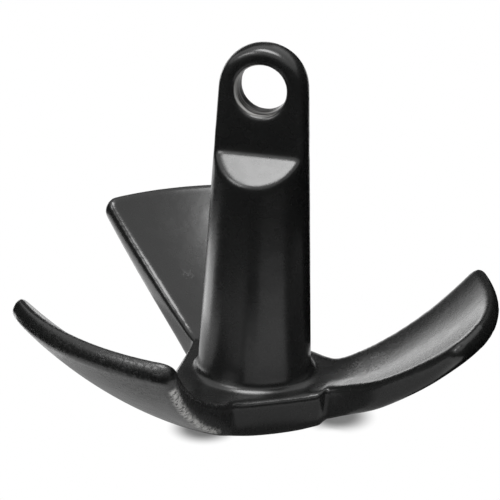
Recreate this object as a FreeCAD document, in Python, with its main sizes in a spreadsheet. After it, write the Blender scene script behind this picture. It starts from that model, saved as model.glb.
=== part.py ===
import FreeCAD, Part
import math
import os
import Sketcher

# A cast river anchor: one iron casting under a dipped black coat.
# A tapered shank stands on a six-sided hub, and a bowl cut into three flukes rises round it.
# The shank's head is domed, flattened on two sides to a lug, and bored for a shackle.
# The flat sole of the hub stands on the floor round the origin. +Z runs up the shank and +X along
# the first fluke, which is also the way that the lug is wide. The eye's bore runs along Y.

SIZES = [
    # Hub: its flat sole, the distance from the axis to each of its sides, and its top
    ("sole_radius", 24.0),
    ("hub_apothem", 40.0),
    ("hub_top", 22.4),
    ("hub_ledge", 0.5),
    # Bowl: its rim's upper inner edge, the end face across the rim, and the sweep of both sides
    ("rim_radius", 127.0),
    ("rim_height", 82.5),
    ("rim_thickness", 10.6),
    ("rim_tilt", 30.0),
    ("under_root_radius", 60.0),
    ("under_radius", 257.0),
    ("upper_root_radius", 46.0),
    ("upper_radius", 226.0),
    # Flukes: what the gaps leave of the bowl
    ("fluke_count", 3),
    ("fluke_half_width", 55.7),
    ("fluke_side_radius", 244.0),
    # The first fluke left the mould shorter than the others
    ("short_fluke_by", 10.0),
    ("short_fluke_sector", 80.0),
    # Shank
    ("shank_foot_radius", 29.9),
    ("shank_taper", 2.75),
    ("shank_root_fillet", 5.0),
    # Lug and eye
    ("eye_height", 176.5),
    ("eye_radius", 12.8),
    ("lug_thickness", 18.0),
    ("shoulder_height", 144.0),
    ("shoulder_slope", 38.3),
    ("shoulder_fillet", 2.0),
    # Rounded edges and corners
    ("fluke_corner_fillet", 6.0),
    ("hub_corner_fillet", 2.0),
    ("upper_edge_fillet", 2.5),
    ("under_edge_fillet", 4.0),
    ("eye_rim_fillet", 2.4),
    ("lug_edge_fillet", 2.6),
    # Room that a cutting outline leaves round the casting
    ("cut_clear", 12.0),
]

# An edge is sharp where its two faces turn by more than this, and a face of the bowl belongs to
# its upper side or its underside where it leans up or down by more than this share
SHARP_ANGLE = math.radians(15)
LEAN = 0.2
NEAR = 0.01

doc = FreeCAD.newDocument("river_anchor")
sizes = doc.addObject("Spreadsheet::Sheet", "sizes")
for row, (word, value) in enumerate(SIZES, start=1):
    sizes.set(f"A{row}", word)
    sizes.set(f"B{row}", str(value))
    sizes.setAlias(f"B{row}", word)
doc.recompute()

V = FreeCAD.Vector
START, END, CENTRE = range(1, 4)
ORIGIN = (-1, START)
X_AXIS = -1
Y_AXIS = -2


def size(word):
    return float(sizes.get(word))


def origin_plane(body, role):
    return next(feature for feature in body.Origin.OriginFeatures if feature.Role == role)


def new_sketch(body, name, role):
    """A sketch that lies on one of the body's own origin planes."""
    sketch = body.newObject("Sketcher::SketchObject", name)
    sketch.AttachmentSupport = (origin_plane(body, role), [""])
    sketch.MapMode = "FlatFace"
    return sketch


def line(sketch, start, end):
    return sketch.addGeometry(Part.LineSegment(V(*start, 0), V(*end, 0)))


def arc(sketch, centre, radius, start_deg, end_deg):
    circle = Part.Circle(V(*centre, 0), V(0, 0, 1), radius)
    return sketch.addGeometry(Part.ArcOfCircle(circle, math.radians(start_deg), math.radians(end_deg)))


def mark(sketch, place):
    """A construction point, which a dimension can measure to."""
    return sketch.addGeometry(Part.Point(V(*place, 0)), True)


def tie(sketch, kind, *what):
    return sketch.addConstraint(Sketcher.Constraint(kind, *what))


def chain(sketch, elements):
    """Joins the end of each element to the start of the next, and the last to the first."""
    for one, other in zip(elements, elements[1:] + elements[:1]):
        tie(sketch, "Coincident", one, END, other, START)


def drive(sketch, name, formula, kind, *what):
    """A dimension that a formula on the sheet's sizes drives."""
    index = tie(sketch, kind, *what)
    sketch.renameConstraint(index, name)
    sketch.setExpression(f"Constraints.{name}", formula)


def bearing(centre, point):
    """The direction from a centre to a point, in degrees."""
    return math.degrees(math.atan2(point[1] - centre[1], point[0] - centre[0]))


def sweep_centre(root_centre, root_radius, radius, end):
    """Centre of the arc that leaves a smaller root arc smoothly and runs on to its end point."""
    across = V(end[0] - root_centre[0], end[1] - root_centre[1], 0)
    between = radius - root_radius
    along = (between ** 2 - radius ** 2 + across.Length ** 2) / (2 * across.Length)
    aside = math.sqrt(between ** 2 - along ** 2)
    unit = V(across).normalize()
    return (root_centre[0] + unit.x * along - unit.y * aside, root_centre[1] + unit.y * along + unit.x * aside)


# Past the rim's outermost edge, with room round it
OUTSIDE = "sizes.rim_radius + sizes.rim_thickness * sin(sizes.rim_tilt * 1 deg) + sizes.cut_clear"


def outside():
    return (size("rim_radius") + size("rim_thickness") * math.sin(math.radians(size("rim_tilt")))
            + size("cut_clear"))


def half_section(body):
    """Half of the casting's section: sole, underside, rim, bowl, hub ledge, shank and dome."""
    sketch = new_sketch(body, "half_section", "XZ_Plane")
    tilt = math.radians(size("rim_tilt"))
    taper = math.radians(size("shank_taper"))
    top = size("hub_top")
    eye = size("eye_height")
    rim = (size("rim_radius"), size("rim_height"))
    rim_under = (rim[0] + size("rim_thickness") * math.sin(tilt), rim[1] - size("rim_thickness") * math.cos(tilt))
    root_end = size("shank_foot_radius") + size("shank_root_fillet")
    shank_start = (size("shank_foot_radius"), top + size("shank_root_fillet"))
    dome_radius = (shank_start[0] - (eye - shank_start[1]) * math.tan(taper)) * math.cos(taper)

    under_centre = (size("sole_radius"), size("under_root_radius"))
    under_sweep = sweep_centre(under_centre, size("under_root_radius"), size("under_radius"), rim_under)
    upper_centre = (root_end + size("hub_ledge"), top + size("upper_root_radius"))
    upper_sweep = sweep_centre(upper_centre, size("upper_root_radius"), size("upper_radius"), rim)

    sole = line(sketch, (0, 0), (size("sole_radius"), 0))
    under_root = arc(sketch, under_centre, size("under_root_radius"), -90, bearing(under_sweep, under_centre))
    underside = arc(sketch, under_sweep, size("under_radius"), bearing(under_sweep, under_centre),
                    bearing(under_sweep, rim_under))
    face = line(sketch, rim_under, rim)
    bowl = arc(sketch, upper_sweep, size("upper_radius"), bearing(upper_sweep, upper_centre),
               bearing(upper_sweep, rim))
    bowl_root = arc(sketch, upper_centre, size("upper_root_radius"), -90, bearing(upper_sweep, upper_centre))
    ledge = line(sketch, (root_end + size("hub_ledge"), top), (root_end, top))
    shank_root = arc(sketch, (root_end, shank_start[1]), size("shank_root_fillet"), 180, 270)
    shank = line(sketch, shank_start, (dome_radius * math.cos(taper), eye + dome_radius * math.sin(taper)))
    dome = arc(sketch, (0, eye), dome_radius, math.degrees(taper), 90)
    axis = line(sketch, (0, eye + dome_radius), (0, 0))

    tie(sketch, "Coincident", sole, START, *ORIGIN)
    tie(sketch, "Tangent", sole, END, under_root, START)
    tie(sketch, "Tangent", under_root, END, underside, START)
    tie(sketch, "Coincident", underside, END, face, START)
    tie(sketch, "Coincident", face, END, bowl, END)
    tie(sketch, "Tangent", bowl, START, bowl_root, END)
    tie(sketch, "Tangent", bowl_root, START, ledge, START)
    tie(sketch, "Tangent", ledge, END, shank_root, END)
    tie(sketch, "Tangent", shank_root, START, shank, START)
    tie(sketch, "Tangent", shank, END, dome, START)
    tie(sketch, "Coincident", dome, END, axis, START)
    tie(sketch, "Coincident", axis, END, *ORIGIN)
    tie(sketch, "Horizontal", sole)
    tie(sketch, "Horizontal", ledge)
    tie(sketch, "Vertical", axis)
    tie(sketch, "PointOnObject", dome, CENTRE, Y_AXIS)

    drive(sketch, "sole_radius", "sizes.sole_radius", "DistanceX", *ORIGIN, sole, END, size("sole_radius"))
    drive(sketch, "under_root", "sizes.under_root_radius", "Radius", under_root, size("under_root_radius"))
    drive(sketch, "underside", "sizes.under_radius", "Radius", underside, size("under_radius"))
    drive(sketch, "rim_radius", "sizes.rim_radius", "DistanceX", *ORIGIN, face, END, rim[0])
    drive(sketch, "rim_height", "sizes.rim_height", "DistanceY", *ORIGIN, face, END, rim[1])
    drive(sketch, "rim_thickness", "sizes.rim_thickness", "Distance", face, size("rim_thickness"))
    drive(sketch, "rim_slant", "90 + sizes.rim_tilt", "Angle", face, math.pi / 2 + tilt)
    drive(sketch, "bowl", "sizes.upper_radius", "Radius", bowl, size("upper_radius"))
    drive(sketch, "bowl_root", "sizes.upper_root_radius", "Radius", bowl_root, size("upper_root_radius"))
    drive(sketch, "hub_top", "sizes.hub_top", "DistanceY", *ORIGIN, ledge, START, top)
    drive(sketch, "ledge", "sizes.hub_ledge", "DistanceX", ledge, END, ledge, START, size("hub_ledge"))
    drive(sketch, "root_fillet", "sizes.shank_root_fillet", "Radius", shank_root, size("shank_root_fillet"))
    drive(sketch, "shank_foot", "sizes.shank_foot_radius", "DistanceX", *ORIGIN, shank, START, shank_start[0])
    drive(sketch, "shank_slant", "90 + sizes.shank_taper", "Angle", shank, math.pi / 2 + taper)
    drive(sketch, "eye_height", "sizes.eye_height", "DistanceY", *ORIGIN, dome, CENTRE, eye)
    return sketch


def gap_outline(body):
    """The gap between two flukes, seen from above: a side of the hub and two flaring fluke sides.

    Each fluke side is a shallow arc from the hub's corner through the fluke's corner on the rim."""
    sketch = new_sketch(body, "gap_outline", "XY_Plane")
    apothem = size("hub_apothem")
    radius = size("fluke_side_radius")
    share = math.pi / size("fluke_count")
    half_side = apothem * math.tan(share / 2)
    opening = share - math.asin(size("fluke_half_width") / size("rim_radius"))
    hub_corner = V(-apothem, half_side, 0)
    rim_corner = V(-size("rim_radius") * math.cos(opening), size("rim_radius") * math.sin(opening), 0)
    chord = rim_corner - hub_corner
    aside = V(-chord.y, chord.x, 0).normalize() * math.sqrt(radius ** 2 - (chord.Length / 2) ** 2)
    centre = (hub_corner + rim_corner) / 2 + aside
    far = outside()
    first = bearing(centre, hub_corner)
    last = math.degrees(math.acos((-far - centre.x) / radius))
    far_half = centre.y + radius * math.sin(math.radians(last))

    hub_side = line(sketch, (-apothem, -half_side), (-apothem, half_side))
    upper_side = arc(sketch, (centre.x, centre.y), radius, first, last)
    mouth = line(sketch, (-far, far_half), (-far, -far_half))
    lower_side = arc(sketch, (centre.x, -centre.y), radius, -last, -first)
    corner = mark(sketch, (rim_corner.x, rim_corner.y))

    chain(sketch, [hub_side, upper_side, mouth, lower_side])
    tie(sketch, "Symmetric", hub_side, START, hub_side, END, X_AXIS)
    tie(sketch, "Symmetric", mouth, START, mouth, END, X_AXIS)
    tie(sketch, "Equal", upper_side, lower_side)
    tie(sketch, "PointOnObject", corner, START, upper_side)

    opening_formula = "(180 deg / sizes.fluke_count - asin(sizes.fluke_half_width / sizes.rim_radius))"
    drive(sketch, "apothem", "sizes.hub_apothem", "DistanceX", hub_side, START, *ORIGIN, apothem)
    drive(sketch, "hub_side", "2 * sizes.hub_apothem * tan(90 deg / sizes.fluke_count)",
          "Distance", hub_side, 2 * half_side)
    drive(sketch, "side_radius", "sizes.fluke_side_radius", "Radius", upper_side, radius)
    drive(sketch, "corner_across", f"sizes.rim_radius * cos({opening_formula})",
          "DistanceX", corner, START, *ORIGIN, -rim_corner.x)
    drive(sketch, "corner_along", f"sizes.rim_radius * sin({opening_formula})",
          "DistanceY", *ORIGIN, corner, START, rim_corner.y)
    drive(sketch, "mouth", OUTSIDE, "DistanceX", mouth, START, *ORIGIN, far)
    return sketch


def short_end(body):
    """The end that the first fluke lacks: all outside a face that lies parallel to the rim's."""
    sketch = new_sketch(body, "short_end", "XZ_Plane")
    tilt = math.radians(size("rim_tilt"))
    reach = size("rim_radius") - size("short_fluke_by")
    level = size("rim_height")
    high = level + size("cut_clear")
    low = level - size("rim_thickness") - size("short_fluke_by") - size("cut_clear")
    face_low = (reach + (level - low) * math.tan(tilt), low)
    face_high = (reach - (high - level) * math.tan(tilt), high)
    far = outside()

    face = line(sketch, face_low, face_high)
    ceiling = line(sketch, face_high, (far, high))
    outer = line(sketch, (far, high), (far, low))
    floor = line(sketch, (far, low), face_low)
    edge = mark(sketch, (reach, level))

    chain(sketch, [face, ceiling, outer, floor])
    tie(sketch, "Horizontal", ceiling)
    tie(sketch, "Vertical", outer)
    tie(sketch, "Horizontal", floor)
    tie(sketch, "PointOnObject", edge, START, face)

    drive(sketch, "slant", "90 + sizes.rim_tilt", "Angle", face, math.pi / 2 + tilt)
    drive(sketch, "reach", "sizes.rim_radius - sizes.short_fluke_by",
          "DistanceX", *ORIGIN, edge, START, reach)
    drive(sketch, "level", "sizes.rim_height", "DistanceY", *ORIGIN, edge, START, level)
    drive(sketch, "ceiling", "sizes.rim_height + sizes.cut_clear",
          "DistanceY", *ORIGIN, ceiling, END, high)
    drive(sketch, "floor", "sizes.rim_height - sizes.rim_thickness - sizes.short_fluke_by - sizes.cut_clear",
          "DistanceY", *ORIGIN, floor, START, low)
    drive(sketch, "outer", OUTSIDE, "DistanceX", *ORIGIN, outer, START, far)
    return sketch


def flank_outline(body):
    """What one side of the head lacks: down the lug's flat, then out along the sloping shoulder."""
    sketch = new_sketch(body, "flank_outline", "YZ_Plane")
    half = size("lug_thickness") / 2
    corner_height = size("shoulder_height")
    slope = math.radians(size("shoulder_slope"))
    fillet = size("shoulder_fillet")
    run = fillet * math.tan((math.pi / 2 - slope) / 2)
    far = size("shank_foot_radius") + size("cut_clear")
    high = size("eye_height") + size("shank_foot_radius") + size("cut_clear")
    low = corner_height - (far - half) * math.tan(slope)

    bend_centre = (half + fillet, corner_height + run)
    shoulder_start = (half + run * math.cos(slope), corner_height - run * math.sin(slope))

    flat = line(sketch, (half, high), (half, corner_height + run))
    bend = arc(sketch, bend_centre, fillet, -180, bearing(bend_centre, shoulder_start))
    shoulder = line(sketch, shoulder_start, (far, low))
    outer = line(sketch, (far, low), (far, high))
    ceiling = line(sketch, (far, high), (half, high))
    corner = mark(sketch, (half, corner_height))

    tie(sketch, "Tangent", flat, END, bend, START)
    tie(sketch, "Tangent", bend, END, shoulder, START)
    tie(sketch, "Coincident", shoulder, END, outer, START)
    tie(sketch, "Coincident", outer, END, ceiling, START)
    tie(sketch, "Coincident", ceiling, END, flat, START)
    tie(sketch, "Vertical", flat)
    tie(sketch, "Vertical", outer)
    tie(sketch, "Horizontal", ceiling)
    tie(sketch, "PointOnObject", corner, START, flat)
    tie(sketch, "PointOnObject", corner, START, shoulder)

    drive(sketch, "half_thickness", "sizes.lug_thickness / 2", "DistanceX", *ORIGIN, corner, START, half)
    drive(sketch, "shoulder_height", "sizes.shoulder_height",
          "DistanceY", *ORIGIN, corner, START, corner_height)
    drive(sketch, "slope", "-sizes.shoulder_slope", "Angle", shoulder, -slope)
    drive(sketch, "fillet", "sizes.shoulder_fillet", "Radius", bend, fillet)
    drive(sketch, "outer", "sizes.shank_foot_radius + sizes.cut_clear", "DistanceX", *ORIGIN, outer, END, far)
    drive(sketch, "ceiling", "sizes.eye_height + sizes.shank_foot_radius + sizes.cut_clear",
          "DistanceY", *ORIGIN, ceiling, END, high)
    return sketch


def eye_outline(body):
    """The eye's round bore, seen from the front."""
    sketch = new_sketch(body, "eye_outline", "XZ_Plane")
    bore = sketch.addGeometry(Part.Circle(V(0, size("eye_height"), 0), V(0, 0, 1), size("eye_radius")))
    tie(sketch, "PointOnObject", bore, CENTRE, Y_AXIS)
    drive(sketch, "height", "sizes.eye_height", "DistanceY", *ORIGIN, bore, CENTRE, size("eye_height"))
    drive(sketch, "radius", "sizes.eye_radius", "Radius", bore, size("eye_radius"))
    return sketch


def cut_through(body, outline, name, both_ways=True):
    """Cuts an outline through everything, both ways from its plane or only up from the floor."""
    feature = body.newObject("PartDesign::Pocket", name)
    feature.Profile = outline
    feature.Type = "ThroughAll"
    feature.Midplane = both_ways
    feature.Reversed = not both_ways
    return feature


def middle_and_normals(shape, edge):
    """An edge's middle, and how the faces on its two sides look there."""
    middle = edge.valueAt((edge.FirstParameter + edge.LastParameter) / 2)
    faces = shape.ancestorsOfType(edge, Part.Face)
    return middle, [face.normalAt(*face.Surface.parameter(middle)) for face in faces]


def is_sharp(edge, normals):
    return len(normals) == 2 and normals[0].getAngle(normals[1]) > SHARP_ANGLE


def part_of_bowl(middle, normal):
    """Whether a face is the bowl's upper side, its underside, or a wall between the two."""
    outward = V(middle.x, middle.y, 0).normalize()
    if normal.z > LEAN and normal.dot(outward) < LEAN:
        return "upper"
    return "under" if normal.z < -LEAN else "wall"


def bowl_edges(*kinds):
    """A test for the sharp edges of hub and flukes between two such faces, sorted by name."""
    def wanted(shape, edge):
        if edge.Degenerated:
            return False
        middle, normals = middle_and_normals(shape, edge)
        return (middle.z < size("rim_height") + NEAR and is_sharp(edge, normals)
                and sorted(part_of_bowl(middle, normal) for normal in normals) == sorted(kinds))
    return wanted


def upright_corners(at_rim):
    """A test for the corners between walls, out at the rim or in at the hub."""
    between = bowl_edges("wall", "wall")
    halfway = (size("rim_radius") + size("hub_apothem")) / 2

    def wanted(shape, edge):
        return between(shape, edge) and (math.hypot(*edge.CenterOfMass[:2]) > halfway) == at_rim
    return wanted


def eye_rims(shape, edge):
    return (not edge.Degenerated and len(edge.Vertexes) == 1
            and abs(edge.Length - 2 * math.pi * size("eye_radius")) < NEAR)


def lug_edges(shape, edge):
    """The sharp edges where a flank, which is level along X, meets the round head or shank."""
    if edge.Degenerated or len(edge.Vertexes) < 2:
        return False
    middle, normals = middle_and_normals(shape, edge)
    return (middle.z > size("shoulder_height") - size("shank_foot_radius")
            and abs(middle.y) > size("lug_thickness") / 2 - NEAR
            and is_sharp(edge, normals) and any(abs(normal.x) < NEAR for normal in normals))


def round_edges(body, base, name, radius, wanted):
    """Rounds every edge of the base that the test wants."""
    doc.recompute()
    edges = [f"Edge{i}" for i, edge in enumerate(base.Shape.Edges, start=1) if wanted(base.Shape, edge)]
    if not edges:
        raise RuntimeError(f"{name} finds no edge")
    feature = body.newObject("PartDesign::Fillet", name)
    feature.Base = (base, edges)
    feature.setExpression("Radius", f"sizes.{radius}")
    return feature


# The bowl, its hub and the shank are turned in one piece
anchor = doc.addObject("PartDesign::Body", "anchor_casting")
anchor.Label = "anchor_casting"
casting = anchor.newObject("PartDesign::Revolution", "casting")
casting.Profile = half_section(anchor)
casting.ReferenceAxis = (casting.Profile[0], ["V_Axis"])
casting.Angle = 360

# Gaps between the flukes
gap = cut_through(anchor, gap_outline(anchor), "gap", both_ways=False)
gaps = anchor.newObject("PartDesign::PolarPattern", "gaps")
gaps.Originals = [gap]
gaps.Axis = (gap.Profile[0], ["N_Axis"])
gaps.Angle = 360
gaps.setExpression("Occurrences", "sizes.fluke_count")
anchor.Tip = gaps

short_fluke = anchor.newObject("PartDesign::Groove", "short_fluke")
short_fluke.Profile = short_end(anchor)
short_fluke.ReferenceAxis = (short_fluke.Profile[0], ["V_Axis"])
short_fluke.Midplane = True
short_fluke.setExpression("Angle", "sizes.short_fluke_sector")

# The lug's two flats with the shoulders below them, and the eye
flank = cut_through(anchor, flank_outline(anchor), "flank")
flanks = anchor.newObject("PartDesign::Mirrored", "flanks")
flanks.Originals = [flank]
flanks.MirrorPlane = (origin_plane(anchor, "XZ_Plane"), [""])
anchor.Tip = flanks
eye = cut_through(anchor, eye_outline(anchor), "eye")

# Rounded corners first, from the hub outwards, then the edges that run round them
hub_corners = round_edges(anchor, eye, "hub_corners", "hub_corner_fillet", upright_corners(at_rim=False))
fluke_corners = round_edges(anchor, hub_corners, "fluke_corners", "fluke_corner_fillet",
                            upright_corners(at_rim=True))
upper_edges = round_edges(anchor, fluke_corners, "upper_edges", "upper_edge_fillet", bowl_edges("upper", "wall"))
under_edges = round_edges(anchor, upper_edges, "under_edges", "under_edge_fillet", bowl_edges("under", "wall"))
rounded_eye = round_edges(anchor, under_edges, "rounded_eye", "eye_rim_fillet", eye_rims)
rounded_lug = round_edges(anchor, rounded_eye, "rounded_lug", "lug_edge_fillet", lug_edges)
anchor.Tip = rounded_lug
doc.recompute()

failed = [item.Name for item in doc.Objects if {"Invalid", "Error"} & set(item.State)]
if failed:
    raise RuntimeError(f"these could not be made: {failed}")
cuts = [casting, gap, gaps, short_fluke, flank, flanks, eye]
for before, after in zip(cuts, cuts[1:]):
    if after.Shape.Volume >= before.Shape.Volume:
        raise RuntimeError(f"{after.Name} cuts nothing")
if anchor.Shape.isNull() or not anchor.Shape.isValid() or len(anchor.Shape.Solids) != 1:
    raise RuntimeError("the casting is not one valid solid")

os.makedirs("parts", exist_ok=True)
anchor.Shape.exportStep("parts/anchor_casting.step")
box = anchor.Shape.BoundBox
print(f"anchor_casting: {anchor.Shape.Volume / 1000:.1f} cm3,"
      f" {box.XLength:.1f} x {box.YLength:.1f} x {box.ZLength:.1f} mm")
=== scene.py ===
import math

import bmesh
import bpy
from mathutils import Matrix, Vector


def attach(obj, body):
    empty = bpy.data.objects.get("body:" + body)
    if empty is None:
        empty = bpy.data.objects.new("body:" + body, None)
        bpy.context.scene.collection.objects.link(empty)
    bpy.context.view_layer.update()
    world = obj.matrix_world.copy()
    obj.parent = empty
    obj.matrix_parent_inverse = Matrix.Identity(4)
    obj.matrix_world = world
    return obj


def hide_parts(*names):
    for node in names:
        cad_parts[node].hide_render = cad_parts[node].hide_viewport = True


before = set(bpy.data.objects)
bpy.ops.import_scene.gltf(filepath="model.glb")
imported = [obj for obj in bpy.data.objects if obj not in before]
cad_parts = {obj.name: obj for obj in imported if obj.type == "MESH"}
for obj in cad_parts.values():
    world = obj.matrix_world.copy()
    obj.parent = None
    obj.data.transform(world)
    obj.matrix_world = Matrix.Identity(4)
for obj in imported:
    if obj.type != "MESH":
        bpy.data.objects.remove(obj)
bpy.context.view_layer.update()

# The river anchor in its black dipped coat, on a white floor, seen as in the photograph.
# Lengths are in metres. The sole lies on the floor round the origin, and +X runs along the first fluke.

MM = 0.001
EYE = Vector((0, 0, 176.5 * MM))
BORE_RADIUS = 12.8 * MM
HUB_APOTHEM = 40 * MM


# Mesh tools

def new_object(name, mesh):
    made = bpy.data.objects.new(name, mesh)
    bpy.context.scene.collection.objects.link(made)
    return made


def finished(name, bm, material, smooth=False):
    """Makes an object of a bmesh, shaded smooth all over or flat."""
    mesh = bpy.data.meshes.new(name)
    for face in bm.faces:
        face.smooth = smooth
    bm.to_mesh(mesh)
    bm.free()
    mesh.materials.append(material)
    return new_object(name, mesh)


# Materials

WHITE = (1, 1, 1, 1)


class Value:
    """A number that varies over a surface. Arithmetic on it adds the nodes that work it out."""

    def __init__(self, finish, socket):
        self.finish = finish
        self.socket = socket

    def math(self, operation, *values, clamp=False):
        settings = {"operation": operation, "use_clamp": clamp}
        return self.finish.node("ShaderNodeMath", settings, dict(enumerate(values)))

    def __add__(self, other):
        return self.math("ADD", self, other)

    def __rsub__(self, other):
        return self.math("SUBTRACT", other, self)

    def __mul__(self, other):
        return self.math("MULTIPLY", self, other)

    def clipped(self):
        return self.math("ADD", self, 0.0, clamp=True)

    __radd__ = __add__
    __rmul__ = __mul__


class Finish:
    """A material or a world, with one way to add any node to it."""

    def __init__(self, holder):
        self.holder = holder
        holder.use_nodes = True
        self.tree = holder.node_tree
        self.tree.nodes.clear()

    def node(self, kind, settings=None, values=None, output=0):
        """Adds a node, sets it up, feeds its sockets with numbers or links, and returns one output."""
        made = self.tree.nodes.new(kind)
        for key, value in (settings or {}).items():
            setattr(made, key, value)
        for key, value in (values or {}).items():
            socket = made.inputs[key]
            if isinstance(value, Value):
                self.tree.links.new(value.socket, socket)
            else:
                socket.default_value = value
        return None if output is None else Value(self, made.outputs[output])

    def place(self):
        """Where a point of the surface is, in the object's own axes."""
        return self.node("ShaderNodeTexCoord", output="Object")

    def stretched(self, place, factors):
        return self.node("ShaderNodeVectorMath", {"operation": "MULTIPLY"}, {0: place, 1: factors})

    def ramp(self, value, low, high):
        """Rises smoothly from 0 to 1 while the value goes from low to high."""
        settings = {"interpolation_type": "SMOOTHSTEP"}
        values = {"Value": value, "From Min": low, "From Max": high}
        return self.node("ShaderNodeMapRange", settings, values)

    def noise(self, place, scale, detail, roughness=0.5):
        return self.node("ShaderNodeTexNoise", None, {
            "Vector": place, "Scale": scale, "Detail": detail, "Roughness": roughness})

    def near(self, place, centre, inner, outer):
        """Is 1 within the inner distance from a point, and fades to 0 at the outer one."""
        settings = {"operation": "DISTANCE"}
        apart = self.node("ShaderNodeVectorMath", settings, {0: place, 1: centre}, output="Value")
        return 1 - self.ramp(apart, inner, outer)

    def patches(self, place, spots):
        """Is 1 at each spot, given as a point and a reach, and fades to 0 at its reach."""
        total = 0.0
        for centre, reach in spots:
            total = total + self.near(place, centre, 0.35 * reach, reach)
        return total.clipped()

    def blend(self, share, colour, other):
        """Goes from one colour to the other while the share goes from 0 to 1."""
        values = {0: share, 6: colour, 7: other}
        return self.node("ShaderNodeMix", {"data_type": "RGBA"}, values, output=2)

    def seen(self):
        """Is 1 for the camera, and for what shows in gloss or through glass."""
        rays = [self.node("ShaderNodeLightPath", output=f"Is {kind} Ray")
                for kind in ("Camera", "Glossy", "Transmission")]
        return (rays[0] + rays[1] + rays[2]).clipped()

    def glow(self, strength):
        return self.node("ShaderNodeEmission", None, {"Color": WHITE, "Strength": strength})

    def sky(self, strength):
        return self.node("ShaderNodeBackground", None, {"Color": WHITE, "Strength": strength})

    def either(self, share, shader, other):
        """Goes from one shader to the other while the share goes from 0 to 1."""
        return self.node("ShaderNodeMixShader", None, {0: share, 1: shader, 2: other})

    def end(self, shader, kind="ShaderNodeOutputMaterial"):
        self.node(kind, None, {"Surface": shader}, output=None)
        return self.holder


def new_finish(name):
    return Finish(bpy.data.materials.new(name))


# How many times each pattern of the coat repeats in a metre
WAVES = 34
LUMPS = 150
FLECKS = 520
STREAKS = 900
GRAIN = 1300

COAT_DARK = (0.005, 0.0052, 0.0052, 1)
COAT_LIGHT = (0.009, 0.0092, 0.009, 1)
WORN_AND_HIGHLIGHT_COLOUR = (0.37, 0.365, 0.355, 1)

# Rough patches of the coat, each a point and how far the patch reaches: two on the third fluke's
# rim, one at the first fluke's root and a small one on the second fluke's face
SPECKLED = [
    ((-0.030, -0.124, 0.077), 0.034),
    ((-0.075, -0.104, 0.078), 0.030),
    ((0.060, 0.004, 0.030), 0.016),
    ((-0.054, 0.064, 0.044), 0.005),
]

# Points down the lower edge of the third fluke's wall, from near its corner to the hub, where a highlight
# is painted in worn grey
HIGHLIGHT_EDGE_POINTS = [
    (-0.0105, -0.1225, 0.0645),
    (-0.0106, -0.118, 0.0598),
    (-0.0107, -0.114, 0.0550),
    (-0.0107, -0.109, 0.0500),
    (-0.0108, -0.104, 0.0450),
    (-0.0104, -0.099, 0.0405),
    (-0.0100, -0.094, 0.0365),
    (-0.0096, -0.0885, 0.0320),
    (-0.0094, -0.083, 0.0275),
    (-0.0090, -0.0775, 0.0232),
    (-0.0080, -0.072, 0.0195),
    (-0.0072, -0.0665, 0.0160),
    (-0.0063, -0.061, 0.0125),
]
EDGE_HIGHLIGHT_REACH = 0.0056

# Blender's pointiness is 0.5 on a flat: the painted edge highlight keeps to what stands out more than this
EDGE_POINTINESS = (0.506, 0.522)


def coated_casting():
    """Black vinyl that was dipped over rough cast iron: soft lumps, fine grain, a few scuffs, and a
    highlight painted in worn grey along one lower edge.
    """
    finish = new_finish("black_dipped_coat")
    place = finish.place()
    waves = finish.noise(place, WAVES, detail=1)
    lumps = finish.noise(place, LUMPS, detail=3)
    grain = finish.noise(place, GRAIN, detail=2)
    flecks = finish.noise(place, FLECKS, detail=4, roughness=0.7)
    specks = finish.ramp(flecks, 0.5, 0.62) * finish.patches(place, SPECKLED)

    pointiness = finish.node("ShaderNodeNewGeometry", output="Pointiness")
    # Painted highlight: worn grey along the third fluke's lower edge, kept to where the edge stands out
    edge_highlight_patches = finish.patches(place, [(point, EDGE_HIGHLIGHT_REACH) for point in HIGHLIGHT_EDGE_POINTS])
    painted_edge_highlight = finish.ramp(flecks, 0.40, 0.54) * edge_highlight_patches * finish.ramp(pointiness, *EDGE_POINTINESS)

    # The bore's wall, by the distance from its axis alone, and the rings that a shackle rubbed into it
    across_bore = finish.stretched(place, (1, 0, 1))
    worn_bore = finish.near(across_bore, EYE, BORE_RADIUS + 0.3 * MM, BORE_RADIUS + 1.2 * MM)
    streaks = finish.noise(finish.stretched(place, (0.05, 1, 0.05)), STREAKS, detail=3)
    rubbed = finish.ramp(streaks, 0.45, 0.6) * worn_bore

    height = waves * 1.6 + lumps * 0.35 + grain * 0.03 + specks * 0.22 + painted_edge_highlight * 0.3 + rubbed * 0.3
    bump = finish.node("ShaderNodeBump", None, {"Strength": 0.35, "Distance": 0.6 * MM, "Height": height})
    roughness = 0.22 + 0.10 * lumps + 0.16 * specks + 0.2 * painted_edge_highlight + 0.12 * worn_bore
    coat = finish.blend(waves, COAT_DARK, COAT_LIGHT)
    # The bore's rubbed rings are real wear in worn grey; the edge streak is a painted highlight in the
    # same grey
    colour = finish.blend((0.8 * rubbed + painted_edge_highlight).clipped(), coat, WORN_AND_HIGHLIGHT_COLOUR)
    surface = finish.node("ShaderNodeBsdfPrincipled", None, {
        "Base Color": colour, "Roughness": roughness, "IOR": 1.5, "Normal": bump})
    return finish.end(surface)


# Where the floor holds each fluke's shadow, close to the hub: a point, and how far the shadow reaches
SHADOWS = [((0.045, 0.001, 0), 0.023), ((-0.0225, 0.039, 0), 0.023), ((-0.019, -0.033, 0), 0.020)]
SHADOW_DEPTH = 0.85


def white_floor():
    """Plain white, but for a lit card under each fluke's root, where it holds the shadow."""
    finish = new_finish("white_floor")
    share = (1 - SHADOW_DEPTH * finish.patches(finish.place(), SHADOWS)) * finish.seen()
    card = finish.node("ShaderNodeBsdfDiffuse", None, {"Color": (0.9, 0.9, 0.9, 1)})
    return finish.end(finish.either(share, card, finish.glow(1.0)))


def glow_card(name, strength):
    finish = new_finish(name)
    return finish.end(finish.glow(strength))


# The casting

# Points closer than this are one point, and the new skin's points are a voxel apart
MERGE = 0.002 * MM
VOXEL = 1.2 * MM

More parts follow.
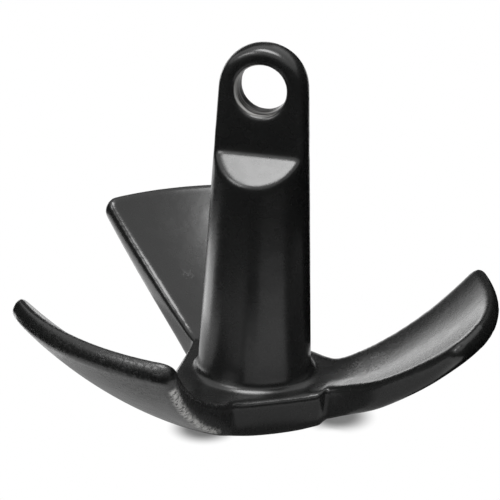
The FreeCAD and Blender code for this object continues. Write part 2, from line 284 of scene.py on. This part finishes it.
# The first fluke's near side, along X from the hub: where it is pinched in full, from where it
# widens again and where that ends, and how far from the fluke's middle the pinch is at its full depth
PINCH_DEPTH = 6 * MM
PINCH_FULL = 42 * MM
PINCH_FADES = 47 * MM
PINCH_ENDS = 74 * MM
PINCH_ACROSS = 20 * MM

# Past the hub's reach there are only flukes, and their edges are softer than the hub's and shank's.
# The lug's outer edge is softer too, but not the rim of its eye.
HUB_REACH = 58 * MM
LUG_FOOT = 155 * MM
EYE_RIM = 5 * MM

# The first fluke's near corner is worn round, most at its middle
WORN_CORNER = Vector((0.108, -0.050, 0.071))
CORNER_REACHES = (14 * MM, 18 * MM, 22 * MM, 26 * MM)


def smoothstep(value, low, high):
    share = min(max((value - low) / (high - low), 0), 1)
    return share * share * (3 - 2 * share)


def soften(bm, times, wanted):
    """Moves each point that the test wants halfway to the middle of its neighbours, some times over."""
    verts = [vert for vert in bm.verts if wanted(vert.co)]
    for _ in range(times):
        bmesh.ops.smooth_vert(bm, verts=verts, factor=0.5, use_axis_x=True, use_axis_y=True,
                              use_axis_z=True)


def pinch_fluke_root(bm):
    """The first fluke's near side leaves its hub face a little inside the face's corner."""
    for vert in bm.verts:
        out, across = vert.co.x, vert.co.y
        if out > HUB_APOTHEM and across < 0:
            starts = smoothstep(out, HUB_APOTHEM, PINCH_FULL)
            lasts = 1 - smoothstep(out, PINCH_FADES, PINCH_ENDS)
            vert.co.y += PINCH_DEPTH * starts * lasts * smoothstep(-across, 0, PINCH_ACROSS)


def skinned(source):
    """The mesh again as one even skin, whose points are a voxel apart."""
    holder = new_object("skin_source", source)
    remesh = holder.modifiers.new("skin", "REMESH")
    remesh.mode = "VOXEL"
    remesh.voxel_size = VOXEL
    mesh = bpy.data.meshes.new_from_object(holder.evaluated_get(bpy.context.evaluated_depsgraph_get()))
    bpy.data.objects.remove(holder)
    return mesh


def dressed_casting():
    """The casting's own shape under one skin, with its edges rounded as the thick dip rounds them."""
    bm = bmesh.new()
    bm.from_mesh(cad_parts["anchor_casting"].data)
    bmesh.ops.remove_doubles(bm, verts=bm.verts, dist=MERGE)
    joined = bpy.data.meshes.new("joined")
    bm.to_mesh(joined)
    bm.clear()
    bm.from_mesh(skinned(joined))
    soften(bm, 6, lambda place: True)
    pinch_fluke_root(bm)
    soften(bm, 6, lambda place: place.xy.length > HUB_REACH)
    soften(bm, 2, lambda place: place.xy.length <= HUB_REACH)
    for reach in CORNER_REACHES:
        soften(bm, 12, lambda place: (place - WORN_CORNER).length < reach)
    soften(bm, 8, lambda place: (place.z > LUG_FOOT
                                 and math.hypot(place.x, place.z - EYE.z) > BORE_RADIUS + EYE_RIM))
    casting = finished("anchor_casting_coated", bm, coated_casting(), smooth=True)
    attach(casting, "root")
    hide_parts("anchor_casting")


# Camera: fitted to the outlines in the photograph, in units that are a pixel wide at the anchor

PHOTO_SIDE = 500
SENSOR = 36
UNIT = 0.516 * MM
DISTANCE = 1650 * UNIT
ELEVATION = math.radians(21.80)
TURN = math.radians(12.35)
ROLL = math.radians(1.88)
TARGET_RIGHT = -8.33 * UNIT
TARGET_HEIGHT = 161.85 * UNIT + 5.7 * MM


def make_camera():
    data = bpy.data.cameras.new("camera")
    data.sensor_width = SENSOR
    data.lens = SENSOR * DISTANCE / UNIT / PHOTO_SIDE
    camera = new_object("camera", data)
    right = Vector((math.cos(TURN), math.sin(TURN), 0))
    level = Vector((-math.sin(TURN), math.cos(TURN), 0))
    forward = level * math.cos(ELEVATION) - Vector((0, 0, math.sin(ELEVATION)))
    up = right.cross(forward)
    across = right * math.cos(ROLL) + up * math.sin(ROLL)
    upright = up * math.cos(ROLL) - right * math.sin(ROLL)
    camera.matrix_world = Matrix((across, upright, -forward)).transposed().to_4x4()
    camera.location = right * TARGET_RIGHT + Vector((0, 0, TARGET_HEIGHT)) - forward * DISTANCE
    bpy.context.scene.camera = camera


# Studio

FLOOR_RADIUS = 6
DIM_WORLD = 0.35
LAMPS_AIM = Vector((0, 0, 0.08))

# How far off the cards stand, and how high the lying ones lie over the floor
WALL = 0.9
LOW = 2 * MM
LOWEST = 1 * MM

GLOWS = {"dark": 0.002, "contact_shade": 0.12, "shaded": 0.5, "bright": 2.8}

# The coat mirrors these: dark cards make its black bands, bright ones light the flukes' undersides,
# and the flag keeps the overhead lamp off the first fluke's near corner. The shaded and contact
# floor cards are painted shade: the floor's shade and the flukes' contact shadow round the hub, as
# the coat mirrors them. Each has its name and glow, the azimuths that it spans, and its profile of
# distances and heights.
CARDS = [
    ("dark_right", "dark", (60, 156), [(0.09, LOW), (WALL, LOW), (WALL, 0.62)]),
    ("dark_right_end", "dark", (156, 172), [(WALL, 0.10), (WALL, 0.62)]),
    ("dark_flag", "dark", (22, 72), [(0.08, 0.16), (0.16, 0.16)]),
    ("dark_front_right", "dark", (3, 60), [(0.30, LOW), (WALL, LOW), (WALL, 0.56)]),
    ("dark_front", "dark", (-40, 3), [(0.19, LOW), (WALL, LOW), (WALL, 0.50)]),
    ("dark_left", "dark", (-140, -40), [(0.30, LOW), (WALL, LOW), (WALL, 0.46)]),
    ("dark_behind", "dark", (-188, -140), [(WALL, 0.26), (WALL, 0.85)]),
    ("dark_left_floor", "dark", (-104, -66), [(0.19, LOWEST), (0.30, LOWEST)]),
    ("bright_floor", "bright", (-140, -104), [(0.14, LOWEST), (0.28, LOWEST)]),
    ("bright_behind", "bright", (-188, -146), [(WALL, -0.02), (WALL, 0.11)]),
    ("shaded_floor", "shaded", (-110, 75), [(0.056, LOWEST), (0.12, LOWEST)]),
    ("contact_floor", "contact_shade", (-110, 75), [(0.02, LOWEST), (0.056, LOWEST)]),
]
CARD_STEPS = 24


def around(azimuth, elevation, distance):
    """A place seen from the anchor: azimuth 0 is towards the camera, 90 to the picture's right."""
    angle = TURN - math.pi / 2 + math.radians(azimuth)
    rise = math.radians(elevation)
    flat = distance * math.cos(rise)
    return Vector((flat * math.cos(angle), flat * math.sin(angle), distance * math.sin(rise)))


def softbox(name, place, width, depth, radiance):
    """An area lamp whose face is as bright as the given radiance, turned to the anchor's middle."""
    data = bpy.data.lights.new(name, "AREA")
    data.shape = "RECTANGLE"
    data.size = width
    data.size_y = depth
    data.energy = radiance * math.pi * width * depth
    lamp = new_object(name, data)
    lamp.location = place
    lamp.rotation_euler = (LAMPS_AIM - place).to_track_quat("-Z", "Y").to_euler()


def make_floor():
    bm = bmesh.new()
    bmesh.ops.create_circle(bm, cap_ends=True, segments=64, radius=FLOOR_RADIUS)
    finished("floor", bm, white_floor())


def gloss_card(name, material, azimuths, profile):
    """A card that bends round the anchor, along a profile of distances and heights. Only gloss sees it."""
    bm = bmesh.new()
    start, end = azimuths
    verts = [bm.verts.new(around(start, 0, distance) + Vector((0, 0, height)))
             for distance, height in profile]
    edges = [bm.edges.new(pair) for pair in zip(verts, verts[1:])]
    bmesh.ops.spin(bm, geom=edges, cent=(0, 0, 0), axis=(0, 0, 1), angle=math.radians(end - start),
                   steps=CARD_STEPS)
    card = finished(name, bm, material)
    card.visible_camera = False
    card.visible_diffuse = False
    card.visible_shadow = False
    card.visible_transmission = False


def make_world():
    """White all round where it is seen, and dim as a light."""
    finish = Finish(bpy.data.worlds.new("studio"))
    mixed = finish.either(finish.seen(), finish.sky(DIM_WORLD), finish.sky(1.0))
    bpy.context.scene.world = finish.end(mixed, "ShaderNodeOutputWorld")


def make_studio():
    make_floor()
    make_world()
    materials = {glow: glow_card(f"{glow}_card", strength) for glow, strength in GLOWS.items()}
    for name, glow, azimuths, profile in CARDS:
        gloss_card(name, materials[glow], azimuths, profile)
    softbox("overhead", around(-20, 80, 1.0), width=0.55, depth=0.5, radiance=12.5)
    softbox("left_side", around(-52, 45, 0.9), width=0.30, depth=0.22, radiance=8.0)
    bpy.context.scene.view_settings.view_transform = "Standard"


make_camera()
dressed_casting()
make_studio()
